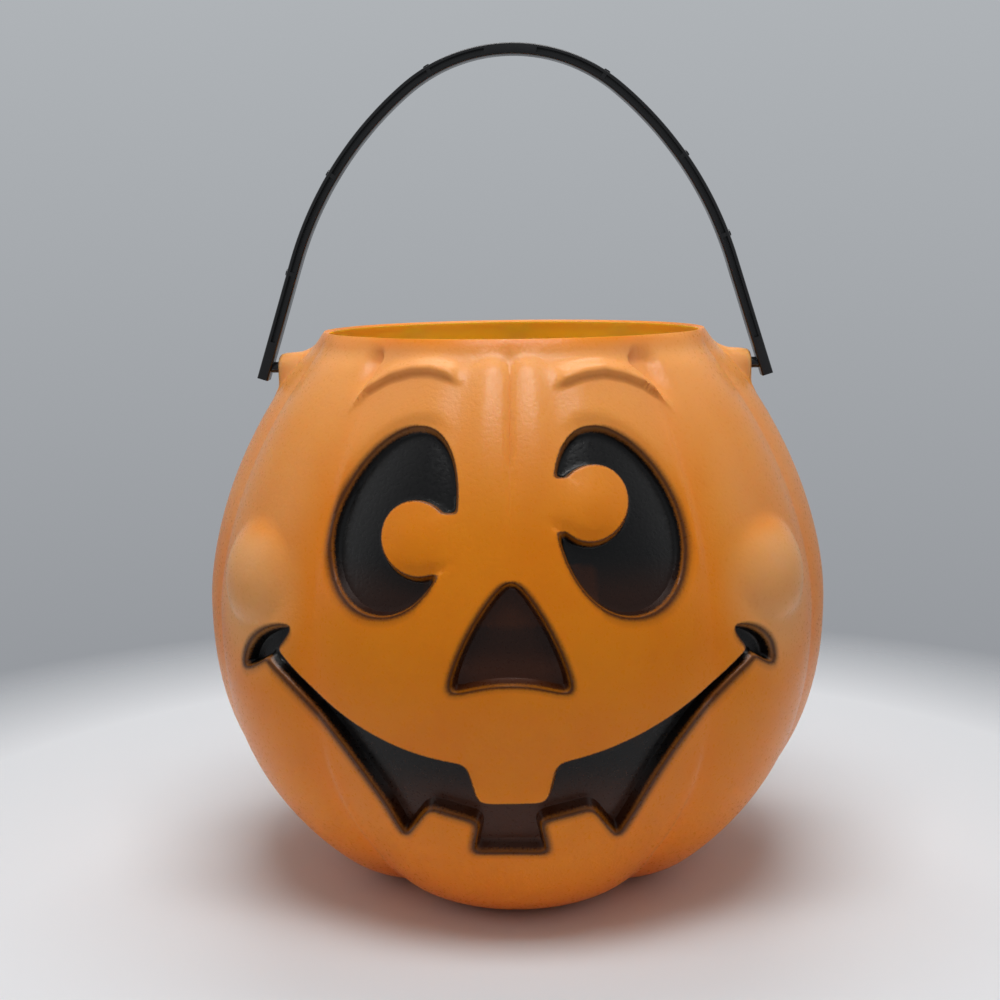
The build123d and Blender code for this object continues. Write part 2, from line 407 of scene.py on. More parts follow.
def leaf_edge(z, tip, reach):
    """How far the crease's opening reaches towards the face at height z."""
    rise = np.clip((z - tip) / (LEAF_TOP - tip), 0, 1)
    opened = np.minimum(rise / 0.75, 1) * np.sqrt(1 - np.clip((rise - 0.75) / 0.25, 0, 1) ** 2)
    return (reach + 4) * opened - 4


def leaf_lift(u, z):
    """Hollow at the upper end of the crease: sharp towards the face, soft behind."""
    lift = np.zeros_like(u)
    for side, tip, reach in LEAVES:
        beyond = side * u - LOBE * UNROLL
        rise = (z - tip) / (LEAF_TOP - tip)
        depth = ease((beyond + leaf_edge(z, tip, reach)) / 1.2) * (1 - ease((beyond - 3) / 9))
        lift -= 2.1 * depth * ease(rise * 1.3) * ease((1 - rise) * 5)
    return lift


def pupil_lift(u, v):
    """Pupils swell a little towards their middle."""
    lift = np.zeros_like(u)
    for middle in unroll([LEFT_PUPIL, RIGHT_PUPIL]):
        lift += 0.9 * bump(np.hypot(u - middle[0], v - middle[1]) / 7.5)
    return lift


def chin_notch(u, v):
    """Pinch at the middle of the chin, where the mould closed."""
    return -1.0 * bump(u / 1.6) * ease((13 - v) / 6)


def eye_bevel(u, v):
    """Shallow slope that leads down to the eyes, widest above and outside them."""
    d = on_face(EYE_MAP, u, v)
    slope_u, slope_v = map_slope(EYE_MAP, u, v, 0.6)
    facing = 0.75 * slope_u * np.sign(u) + 0.66 * slope_v
    return -EYE_BEVEL * ease((5.0 - d) / 5.0) * ease((d + 1.7) / 1.7) * ease((facing + 0.35) / 1.0)


def cheek_lift(place, normal, inset):
    """How far each cheek stands out of the wall at these places."""
    lift = np.zeros(len(place))
    for side in (-1, 1):
        out = BELLY_RADIUS + CHEEK_RISE - CHEEK_RADIUS
        middle = np.array([out * math.sin(side * CHEEK_ANGLE), -out * math.cos(CHEEK_ANGLE), CHEEK_HEIGHT])
        to = place - middle
        across = (to * normal).sum(1)
        spare = across**2 - (to**2).sum(1) + (CHEEK_RADIUS - inset) ** 2
        reach = np.where(spare > 0, np.sqrt(np.maximum(spare, 0)) - across, -10.0)
        lift = lift + smooth_max(reach, 0.0, 0.9) * (spare > 0)
    return lift


def socket_distance(y, z):
    """Signed distance to the socket's arch, seen along the pegs."""
    below = np.maximum(np.abs(y) - SOCKET_RADIUS, -SOCKET_RADIUS)
    return np.where(z > PIVOT_HEIGHT, np.hypot(y, z - PIVOT_HEIGHT) - SOCKET_RADIUS, below)


def socket_lift(place, inset):
    """Carry the wall outwards to the flat, round-edged ends of the sockets."""
    edge = SOCKET_EDGE - inset if inset else SOCKET_EDGE
    q = socket_distance(place[:, 1], place[:, 2]) + inset
    turn = np.clip((q + edge) / edge, 0, 1)
    target = SOCKET_END - inset - edge * (1 - np.sqrt(np.maximum(1 - turn**2, 0)))
    out = np.abs(place[:, 0])
    flare = np.interp(q, (0, 0.3, 0.7, 1.3, 2.2, 3.4, 6.3, 12),
                      (77.5, 75.6, 74.1, 72.5, 70.9, 69.4, 65.6, 57))
    foot = np.maximum(1.6 - np.maximum(q, 0), 0) * ease((place[:, 2] - 164) / 8)
    flare = np.where(q < 9, flare - inset, 0)
    out = smooth_max(smooth_max(out, flare, 0.8), out + foot**2 / 2.6, 0.2)
    draft = ease((0.35 - q) / 0.35)
    lifted = out + np.maximum(target - out, 0) * draft
    near = (place[:, 2] > 160) & (np.abs(place[:, 0]) > 45)
    result = place.copy()
    result[:, 0] = np.sign(place[:, 0]) * np.where(near, lifted, np.abs(place[:, 0]))
    return result


def wall_points(u, v, inset=0.0):
    """The pail's wall in space: inset 0 is the outside, inset WALL the inside."""
    theta = u / UNROLL
    around = np.stack([np.sin(theta), -np.cos(theta), np.zeros_like(u)], -1)
    up = np.array([0, 0, 1.0])
    square_r, square_z = along_profile(SLOPE_Z, v), -along_profile(SLOPE_R, v)
    normal = around * square_r[:, None] + up * square_z[:, None]
    z = along_profile(PROFILE_Z, v)
    place = around * body_radius(theta, v, inset)[:, None] + up * (z - inset * square_z)[:, None]
    sunk = on_face(RECESS_MAP, u, v) - inset
    rise = -RECESS_DEPTH * ease((0.3 - sunk) / 2.0)
    rise = rise + brow_lift(u, v) + forehead_lift(u, z) + eye_bevel(u, v)
    rise = rise + rim_lift(z) + panel_edge_lift(u, z) + leaf_lift(u, z) + chin_notch(u, v)
    rise = rise + pupil_lift(u, v) * ease((sunk + 1) / 2)
    rise = rise + cheek_lift(place, normal, inset) * ease((sunk + 2.5) / 2.5)
    return socket_lift(place + normal * rise[:, None], inset)


def face_rings():
    """Rows of points that follow the recess edges at set distances."""
    start = np.vstack(OUTLINES)
    rows = []
    for target in (4.6, 3.2, 2.0, 1.2, 0.6, 0.15, -0.25, -0.65, -1.05, -1.5, -2.1, -3.1):
        p = start.copy()
        for _ in range(6):
            slope = np.stack(map_slope(RECESS_MAP, p[:, 0], p[:, 1], 0.3), -1)
            miss = target - read_map(RECESS_MAP, p[:, 0], p[:, 1])
            p = p + 0.9 * slope * (miss / np.maximum((slope**2).sum(1), 0.2))[:, None]
        good = np.abs(read_map(RECESS_MAP, p[:, 0], p[:, 1]) - target) < 0.06
        rows.append(thinned(p[good], 0.6 if target < 1.5 else 1.3))
    return rows


def thinned(points, gap):
    """Points with none nearer than the gap to one before it."""
    kept = {}
    result = []
    for u, v in points:
        key = (int(u // gap), int(v // gap))
        near = (kept.get((key[0] + i, key[1] + j)) for i in (-1, 0, 1) for j in (-1, 0, 1))
        if all(q is None or (q[0] - u) ** 2 + (q[1] - v) ** 2 > gap * gap for q in near):
            kept[key] = (u, v)
            result.append((u, v))
    return result


# Rows of points round each socket: how far outside its arch, and how many go round
SOCKET_ROWS = ((4.6, 44), (3.4, 44), (2.4, 44), (1.5, 44), (0.8, 40), (0.35, 40), (0.0, 40), (-0.3, 40),
               (-0.8, 36), (-1.5, 30), (-2.2, 26), (HOLE_RADIUS - SOCKET_RADIUS, 20))


def socket_rings(side):
    """Rows of points round a socket's arch and its peg hole."""
    rows = []
    hole = []
    for grow, count in SOCKET_ROWS:
        radius = SOCKET_RADIUS + grow
        turns = np.linspace(0, math.pi, count // 2 + 1)
        legs = np.arange(PIVOT_HEIGHT - 1.4, 166, -1.4)
        if radius == HOLE_RADIUS:
            turns = np.linspace(0, 2 * math.pi, count, endpoint=False)
            legs = ()
        ring = [(radius * math.cos(t), PIVOT_HEIGHT + radius * math.sin(t)) for t in turns]
        ring += [(side_y * radius, z) for z in legs for side_y in (1, -1)]
        y, z = np.array(ring).T
        v = at_height(z)
        theta = np.full(len(y), math.pi / 2)
        for _ in range(20):
            theta = math.pi / 2 + np.arcsin(y / body_radius(theta, v))
        points = np.stack([side * theta * UNROLL, v], -1)
        rows.append(list(map(tuple, points)))
        hole = points
    return rows, hole


# Rows of points up the rounded corner of the base
LOW_ROWS = [0, 0.9, 1.9, 3.1, 4.6, 6.4, 8.6, 11.2]


def crease_points():
    """Columns of points down every crease and down the middle of the face."""
    rows = np.array(LOW_ROWS + list(np.linspace(LOW_ROWS[-1], RIM_V, 88)[1:]))
    spread = (front_crease(along_profile(PROFILE_Z, rows)) - LOBE) * UNROLL
    points = []
    for crease in range(-5, 6):
        beside = (-4.2, -2.4, -1.1, 0, 1.1, 2.4, 4.2)
        if crease == 0:
            beside = (-13, -10.5, -8, -5.5, -3, -1.5, -0.7, 0, 0.7, 1.5, 3, 5.5, 8, 10.5, 13)
        for step in beside:
            column = crease * LOBE * UNROLL + step + (abs(crease) == 1) * crease * spread
            points += [(u, v) for u, v in zip(column, rows) if abs(u) < SEAM + 1e-6]
    return points


def even_points(step, inner, outer):
    """Even rows and columns of points over a part of the wall."""
    rows = LOW_ROWS + list(np.linspace(LOW_ROWS[-1], RIM_V, int((RIM_V - LOW_ROWS[-1]) / step) + 1)[1:])
    columns = np.linspace(inner, outer, int((outer - inner) / step) + 1)[:-1]
    return [(side * u, v) for u in columns for side in (-1, 1) for v in rows if u > 0 or side > 0]


def clear_of(points, others, gap):
    """Points that keep the gap from all the others; those on the sheet's own edges may come nearer."""
    tree = KDTree(len(others))
    for i, (u, v) in enumerate(others):
        tree.insert((u, v, 0), i)
    tree.balance()
    kept = []
    for u, v in points:
        on_edge = abs(abs(u) - SEAM) < 1e-6 or v == 0 or v == RIM_V
        if tree.find((u, v, 0))[2] > (0.2 if on_edge else gap):
            kept.append((u, v))
    return kept


def wall_layout():
    """Flat triangles of the unrolled wall, with the peg holes left open."""
    features = [p for row in face_rings() for p in row]
    holes = []
    for side in (-1, 1):
        rows, hole = socket_rings(side)
        features += [p for row in rows for p in row]
        holes.append(hole)
    for crest in (LEFT_BROW, RIGHT_BROW):
        along = np.arange(crest[0, 0], crest[-1, 0], 1.3)
        height = np.interp(along, crest[:, 0], crest[:, 1])
        for lift in (-3.2, -2.2, -1.2, -0.4, 0.4, 1.4):
            clear = on_face(RECESS_MAP, along, height + lift) > 5.2
            features += list(zip(along[clear], height[clear] + lift))
    for side, tip, reach in LEAVES:
        z = np.arange(tip + 1, LEAF_TOP, 0.8)
        for step in (-0.6, 0.1, 0.7, 1.4):
            u = side * (LOBE * UNROLL - leaf_edge(z, tip, reach) + step)
            features += list(zip(u, at_height(z)))
    features += clear_of(crease_points(), features, 0.9)
    features += clear_of(even_points(FINE_STEP, 0, FACE_SPAN), features, 1.0)
    points = features + clear_of(even_points(COARSE_STEP, FACE_SPAN, SEAM), features, 1.9)
    middles = [h.mean(0) for h in holes]
    radii = [np.abs(h - m).max(0) for h, m in zip(holes, middles)]

    def in_hole(u, v, share):
        return any(math.hypot((u - m[0]) / r[0], (v - m[1]) / r[1]) < share for m, r in zip(middles, radii))

    points = [p for p in points if not in_hole(p[0], p[1], 0.9)]
    flat, _, faces, *_ = delaunay_2d_cdt([Vector(p) for p in points], [], [], 0, 1e-4)
    flat = np.array([(p.x, p.y) for p in flat])
    faces = np.array([f for f in faces if not in_hole(*flat[list(f)].mean(0), 0.97)])
    # The right edge of the sheet is the left edge again
    left = {round(v, 3): i for i, (u, v) in enumerate(flat) if u < -SEAM + 1e-3}
    joined = np.arange(len(flat))
    for i, (u, v) in enumerate(flat):
        if u > SEAM - 1e-3:
            joined[i] = left[round(v, 3)]
    return flat, joined[faces]


def hex_colour(text):
    """sRGB hex to the linear colour that a shader takes."""
    channels = [int(text[i:i + 2], 16) / 255 for i in (1, 3, 5)]
    linear = [c / 12.92 if c <= 0.04045 else ((c + 0.055) / 1.055) ** 2.4 for c in channels]
    return (*linear, 1.0)


def fill_inputs(node, inputs):
    """Give a node's inputs their values or links; a node stands for its first output in use."""
    for key, value in inputs.items():
        if isinstance(value, bpy.types.Node):
            value = next(socket for socket in value.outputs if socket.enabled)
        if isinstance(value, bpy.types.NodeSocket):
            node.id_data.links.new(value, node.inputs[key])
        else:
            node.inputs[key].default_value = value


def add_node(tree, kind, inputs=None, **settings):
    """Add a node: settings are its own properties, inputs are values, sockets or nodes."""
    node = tree.nodes.new(kind)
    for name, value in settings.items():
        setattr(node, name, value)
    fill_inputs(node, inputs or {})
    return node


def new_material(name):
    material = bpy.data.materials.new(name)
    material.use_nodes = True
    tree = material.node_tree
    return material, tree, tree.nodes["Principled BSDF"]


def make_shell_material():
    """Satin blow-moulded polyethylene: golden orange, a little translucent, fine spark-textured grain.

    The eye sees a redder tint along the creases and near the rim, redder and brighter towards the
    bottom, where the added brightness is painted glow of light from the floor through the plastic; a
    painted sheen on the cheeks, the upward-facing shoulders and the upper sides, and paler plastic at
    the sockets; and satin black sprayed paint in the face with an unpainted line along the lip and a
    feathered edge of spray outside it."""
    material, tree, plastic = new_material("blow_moulded_polyethylene_orange")
    place = add_node(tree, "ShaderNodeTexCoord").outputs["Object"]
    recess, lip, spray, haze, red_tint_and_glow, sheen_and_pale_plastic, umber = (
        add_node(tree, "ShaderNodeAttribute", attribute_name=name).outputs["Fac"]
        for name in ("recess", "lip", "spray", "haze", "red_tint_and_glow", "sheen_and_pale_plastic", "umber"))

    # Mottling 30 mm across, mould grain 1.1 mm, spray speckle 0.6 mm
    mottle, grain, speckle = (
        add_node(tree, "ShaderNodeTexNoise", {"Vector": place, "Scale": 1 / size, "Detail": detail})
        for size, detail in ((0.030, 3.0), (0.0011, 2.0), (0.0006, 1.0)))
    clouds = add_node(tree, "ShaderNodeMapRange", {0: mottle, 1: 0.35, 2: 0.7})

    # Paint starts 0.3 to 0.9 mm inside the lip, and spray reaches a set way outside it
    grit = add_node(tree, "ShaderNodeMath", {0: speckle, 1: 0.5, 2: -0.25}, operation="MULTIPLY_ADD")
    edge = add_node(tree, "ShaderNodeMath", {0: recess, 1: grit}, operation="ADD")
    inner = add_node(tree, "ShaderNodeMath", {0: lip, 1: grit}, operation="ADD")
    paint = add_node(tree, "ShaderNodeMapRange", {0: inner, 1: -0.25, 2: 0.2, 3: 1.0, 4: 0.0})
    outside = add_node(tree, "ShaderNodeMapRange", {0: recess, 1: -0.25, 2: 0.15, 3: 0.7, 4: 1.0})
    share = add_node(tree, "ShaderNodeMath", {0: edge, 1: spray}, operation="DIVIDE")
    core = add_node(tree, "ShaderNodeMapRange", {0: share, 1: 0.3, 2: 1.25, 3: 0.92, 4: 0.0})
    share = add_node(tree, "ShaderNodeMath", {0: edge, 1: haze}, operation="DIVIDE")
    cloud = add_node(tree, "ShaderNodeMapRange", {0: share, 1: 0.1, 2: 1.1, 3: 0.45, 4: 0.0})
    dust = add_node(tree, "ShaderNodeMath", {0: core, 1: cloud}, operation="MAXIMUM")
    dust = add_node(tree, "ShaderNodeMath", {0: outside, 1: dust}, operation="MULTIPLY")

    # Cloudy orange; redder along the creases, near the rim and at the bottom, where the bottom is also
    # brightened as painted glow; paler as painted sheen on cheeks, upward faces and upper sides and as the
    # sockets' paler plastic
    colour = hex_colour("#EA8608")
    for share, tint in ((clouds, "#EE8E10"), (red_tint_and_glow, "#FD8B26"), (sheen_and_pale_plastic, "#FAC68A"), (dust, "#301003")):
        colour = add_node(tree, "ShaderNodeMix", {0: share, 6: colour, 7: hex_colour(tint)}, data_type="RGBA")
    # The black is browner where the paint is thin
    black = add_node(tree, "ShaderNodeMix", {0: umber, 6: hex_colour("#070606"), 7: hex_colour("#43200D")},
                     data_type="RGBA")
    colour = add_node(tree, "ShaderNodeMix", {0: paint, 6: colour, 7: black}, data_type="RGBA")

    rough = add_node(tree, "ShaderNodeMapRange", {0: grain, 1: 0.3, 2: 0.7, 3: 0.25, 4: 0.38})
    relief = add_node(tree, "ShaderNodeBump", {"Strength": 0.24, "Distance": 0.0003, "Height": grain})
    see_through = add_node(tree, "ShaderNodeMapRange", {0: paint, 3: 0.3, 4: 0.0})
    fill_inputs(plastic, {"Base Color": colour, "Roughness": rough, "Normal": relief, "IOR": 1.5,
                          "Specular IOR Level": 0.25, "Subsurface Weight": see_through,
                          "Subsurface Radius": (1.0, 0.55, 0.12), "Subsurface Scale": 0.003})
    return material


def make_inside_material():
    """Bare inside of the moulding: the same plastic without the mould's grain.

    The eye sees a paler, duller orange that lets some light through, with the base colour lightened further
    as painted glow of the light that shines through the wall."""
    material, tree, plastic = new_material("blow_moulded_polyethylene_inside")
    place = add_node(tree, "ShaderNodeTexCoord").outputs["Object"]
    flow = add_node(tree, "ShaderNodeTexNoise", {"Vector": place, "Scale": 1 / 0.045, "Detail": 4.0})
    streaks = add_node(tree, "ShaderNodeMapRange", {0: flow, 1: 0.3, 2: 0.7})
    # Pale orange, lightened as painted glow of the light through the wall
    colour = add_node(tree, "ShaderNodeMix", {0: streaks, 6: hex_colour("#FFAC5E"), 7: hex_colour("#FFB66E")},
                      data_type="RGBA")
    rough = add_node(tree, "ShaderNodeMapRange", {0: flow, 1: 0.3, 2: 0.7, 3: 0.36, 4: 0.48})
    fill_inputs(plastic, {"Base Color": colour, "Roughness": rough, "IOR": 1.5, "Subsurface Weight": 0.9,
                          "Subsurface Radius": (1.0, 0.6, 0.2), "Subsurface Scale": 0.010})
    return material


def make_handle_material():
    """Injection-moulded polypropylene in black: glossy, with faint flow marks and scuffs."""
    material, tree, plastic = new_material("injection_moulded_polypropylene_black")
    place = add_node(tree, "ShaderNodeTexCoord").outputs["Object"]
    flow = add_node(tree, "ShaderNodeTexNoise", {"Vector": place, "Scale": 1 / 0.012, "Detail": 4.0})
    marks = add_node(tree, "ShaderNodeMapRange", {0: flow, 1: 0.35, 2: 0.75})
    colour = add_node(tree, "ShaderNodeMix", {0: marks, 6: hex_colour("#08080A"), 7: hex_colour("#101012")},
                      data_type="RGBA")
    rough = add_node(tree, "ShaderNodeMapRange", {0: flow, 1: 0.35, 2: 0.7, 3: 0.16, 4: 0.32})
    fill_inputs(plastic, {"Base Color": colour, "Roughness": rough, "IOR": 1.49})
    return material


def put_in_scene(name, data):
    obj = bpy.data.objects.new(name, data)
    bpy.context.scene.collection.objects.link(obj)
    return obj


def mesh_object(name, points, faces, materials, material_index=None):
    mesh = bpy.data.meshes.new(name)
    mesh.from_pydata((np.asarray(points) * MM).tolist(), [], [list(f) for f in faces])
    for material in materials:
        mesh.materials.append(material)
    if material_index is not None:
        mesh.polygons.foreach_set("material_index", np.asarray(material_index, dtype=np.int32))
    mesh.validate()
    mesh.update()
    return put_in_scene(name, mesh)


def edge_rows(flat, faces, v_value):
    """Vertices of the wall on its lowest or highest row, in order round the pail."""
    used = np.unique(faces)
    row = [i for i in used if abs(flat[i, 1] - v_value) < 1e-3]
    return sorted(row, key=lambda i: flat[i, 0])


# Rows of points in from the foot to the middle of the base: radius and height
BASE_ROWS = ((38.0, 0), (34.6, 0), (34.0, 0.25), (32.4, 1.1), (30.4, 2.3), (29.4, 2.8), (28.6, PUNT_HEIGHT),
             (20.0, PUNT_HEIGHT), (10.0, PUNT_HEIGHT))


def make_pail_shell():
    """The moulding: both sides of the wall, its rim and base, the peg holes and the weld line."""
    flat, faces = wall_layout()
    u, v = flat.T
    outside = wall_points(u, v)
    inside = wall_points(u, v, WALL)
    # The peg holes go straight through the end walls of the sockets
    from_axis = np.hypot(outside[:, 1], outside[:, 2] - PIVOT_HEIGHT)
    on_end = np.abs(outside[:, 0]) > SOCKET_END - 0.6
    slant = np.where(on_end, ease((from_axis - 2.9) / 4), 1.0)[:, None]
    inside[:, 1:] = outside[:, 1:] + (inside[:, 1:] - outside[:, 1:]) * slant
    rim = edge_rows(flat, faces, RIM_V)
    foot = edge_rows(flat, faces, 0.0)
    points = [outside, inside]
    offset = len(flat)
    polygons = [tuple(f) for f in faces] + [tuple(f[::-1] + offset) for f in faces]
    slots = [0] * len(faces) + [1] * len(faces)
    count = 2 * offset

    def add_face(corners, slot):
        polygons.append(tuple(corners))
        slots.append(slot)

    def join_rows(lower, upper, slot):
        for i in range(len(lower)):
            j = (i + 1) % len(lower)
            add_face((lower[i], lower[j], upper[j], upper[i]), slot)

    def add_row(ring, lower, slot):
        """New row of points joined to an earlier row."""
        nonlocal count
        points.append(ring)
        fresh = list(range(count, count + len(ring)))
        count += len(ring)
        join_rows(lower, fresh, slot)
        return fresh

    # Trimmed rim: a flat edge with both corners eased
    theta = u[rim] / UNROLL
    around = np.stack([np.sin(theta), -np.cos(theta)], -1)
    rim_radius = np.hypot(*outside[rim, :2].T)
    outside[rim, 2] -= RIM_EASE
    inside[rim, :2] = around * (rim_radius - RIM_EDGE)[:, None]
    inside[rim, 2] = PAIL_HEIGHT - RIM_EASE
    top = rim
    for inner in (RIM_EASE, RIM_EDGE - RIM_EASE):
        ring = np.column_stack([around * (rim_radius - inner)[:, None], np.full(len(rim), PAIL_HEIGHT)])
        top = add_row(ring, top, 0)
    join_rows(top, [i + offset for i in rim], 0)

    # Base: flat ring, then the recessed middle
    theta = u[foot] / UNROLL
    around = np.stack([np.sin(theta), -np.cos(theta)], -1)
    for slot, lower, rise in ((0, foot, 0.0), (1, [i + offset for i in foot], WALL)):
        begin = len(polygons)
        for radius, height in BASE_ROWS:
            shift = 0.9 * rise if 28 < radius < 35 else 0.0
            ring = np.column_stack([around * (radius + shift), np.full(len(foot), height + rise)])
            lower = add_row(ring, lower, slot)
        points.append(np.array([[0, 0, PUNT_HEIGHT + rise]]))
        centre = count
        count += 1
        for i in range(len(lower)):
            add_face((lower[i], lower[(i + 1) % len(lower)], centre), slot)
        if slot == 0:
            polygons[begin:] = [p[::-1] for p in polygons[begin:]]

    # Peg holes: join the wall's two sides round each hole
    edges = {(a, b) for face in faces.tolist() for a, b in zip(face, face[1:] + face[:1])}
    for a, b in sorted(edges):
        if (b, a) not in edges and on_end[a] and on_end[b]:
            add_face((b, a, a + offset, b + offset), 0)

    # Weld line that the mould leaves across the base
    rows = ((0.6, 24.0, PUNT_HEIGHT + 0.4), (0.3, 23.4, PUNT_HEIGHT - 0.8))
    points.append(np.array([(x * half, y * reach, height) for half, reach, height in rows
                            for x, y in ((-1, -1), (1, -1), (1, 1), (-1, 1))]))
    for f in ((0, 1, 2, 3), (7, 6, 5, 4), (0, 4, 5, 1), (1, 5, 6, 2), (2, 6, 7, 3), (3, 7, 4, 0)):
        add_face((count + i for i in f), 0)

    shell = mesh_object("pail_shell_moulding", np.vstack(points), polygons,
                        [make_shell_material(), make_inside_material()], slots)
    finish_shell(shell, u, v)
    return shell


def finish_shell(shell, u, v):
    """Smooth shading, and the values that the paint, the tint and the painted sheen and glow follow."""
    mesh = shell.data
    mesh.shade_smooth()
    mesh.set_sharp_from_angle(angle=math.radians(50))
    total = len(mesh.vertices)
    z = along_profile(PROFILE_Z, v)
    recess = on_face(RECESS_MAP, u, v)
    rightward, upward = map_slope(RECESS_MAP, u, v, 0.5)
    outward = np.clip(rightward * np.sign(u), 0, 1)
    downward = np.clip(-upward, 0, 1)
    pupils = unroll([LEFT_PUPIL, RIGHT_PUPIL])
    to_pupil = np.min([np.hypot(u - pupil[0], v - pupil[1]) for pupil in pupils], axis=0)
    away = ease((to_pupil - 14) / 3) * (1 - 0.4 * (np.abs(u) < 26) * (z > 84))
    spray = 0.5 + away * (1.9 * outward + 1.1 * downward)
    haze = 0.7 + away * (2.4 * outward + 2.4 * downward)
    lip = recess + 0.85 - 0.5 * np.clip(np.hypot(outward, downward), 0, 1)
    turn = np.abs(u / UNROLL)
    to_crease = np.abs((turn + LOBE / 2) % LOBE - LOBE / 2) * UNROLL
    # Redder tint along the creases, near the rim and at the bottom; at the bottom it also stands as painted
    # glow, light from the floor through the plastic
    red_tint_and_glow = 0.3 * bump(to_crease / 6) * ease((turn - 0.3) / 0.2) + 0.8 * ease((45 - z) / 45)
    red_tint_and_glow = np.clip(red_tint_and_glow + 0.35 * ease((z - 165) / 20), 0, 1)
    # Painted sheen where the top light catches the cheeks, the upward-facing shoulders and the upper sides;
    # the sockets are paler plastic
    cheek_sheen = ease(1.5 - np.hypot((np.abs(u) - 91) / 19, (z - 111) / 22)) * ease((136 - z) / 11)
    sockets = bump(np.hypot(np.abs(u) - 157, v - at_height(178)) / 9)
    shoulder_sheen = 0.4 * ease((-along_profile(SLOPE_R, v) - 0.3) / 0.45) * ease((190 - z) / 5)
    sides = 0.2 * ease((turn - 0.55) / 0.3) * ease((z - 110) / 30)
    sheen_and_pale_plastic = np.maximum(np.maximum(0.5 * cheek_sheen, 0.8 * sockets), np.maximum(shoulder_sheen, sides))
    middle = (np.abs(u) < 26) * (z > 80)
    nose = ease((103 - z) / 15) * middle
    mouth = ease((64 - z) / 22) * ease((60 - np.abs(u)) / 40)
    umber = np.minimum(0.35 * middle * (z < 126) + nose, 1) + mouth
    umber = umber + 0.4 * ease((128 - z) / 16) * (z > 108)
    # Each value on the outside of the wall, and what it is everywhere else
    tints = {"recess": (recess, 9.0), "lip": (lip, 9.0), "spray": (spray, 0.5), "haze": (haze, 1.0),
             "red_tint_and_glow": (red_tint_and_glow, 0.8), "sheen_and_pale_plastic": (sheen_and_pale_plastic, 0.0), "umber": (umber, 0.0)}
    for name, (values, rest) in tints.items():
        data = np.full(total, rest)
        data[:len(u)] = values
        mesh.attributes.new(name, "FLOAT", "POINT").data.foreach_set("value", data.astype(np.float32))


def on_circle(centre, radius, angles):
    """Points on a circle, by their angle from its top towards +X."""
    return [(centre[0] + radius * math.sin(a), centre[1] + radius * math.cos(a)) for a in angles]


def handle_path():
    """Centreline of the strap from the left foot to the right: x and z."""
    crown = (0.0, CROWN_HEIGHT - CROWN_RADIUS)
    inward = CROWN_RADIUS - HAUNCH_RADIUS
    haunch = (inward * math.sin(CROWN_ANGLE), crown[1] + inward * math.cos(CROWN_ANGLE))
    right = on_circle(crown, CROWN_RADIUS, np.linspace(0, CROWN_ANGLE, 24))
    right += on_circle(haunch, HAUNCH_RADIUS, np.linspace(CROWN_ANGLE, LEG_ANGLE, 36)[1:])
    knee = np.array(right[-1])
    reach = (knee[1] - PIVOT_HEIGHT) / math.sin(LEG_ANGLE) + LEG_OVERRUN
    down = np.array([math.cos(LEG_ANGLE), -math.sin(LEG_ANGLE)])
    right += [tuple(knee + t * down) for t in np.linspace(0, reach, 16)[1:]]
    left = [(-x, z) for x, z in right[:0:-1]]
    return np.array(left + right)


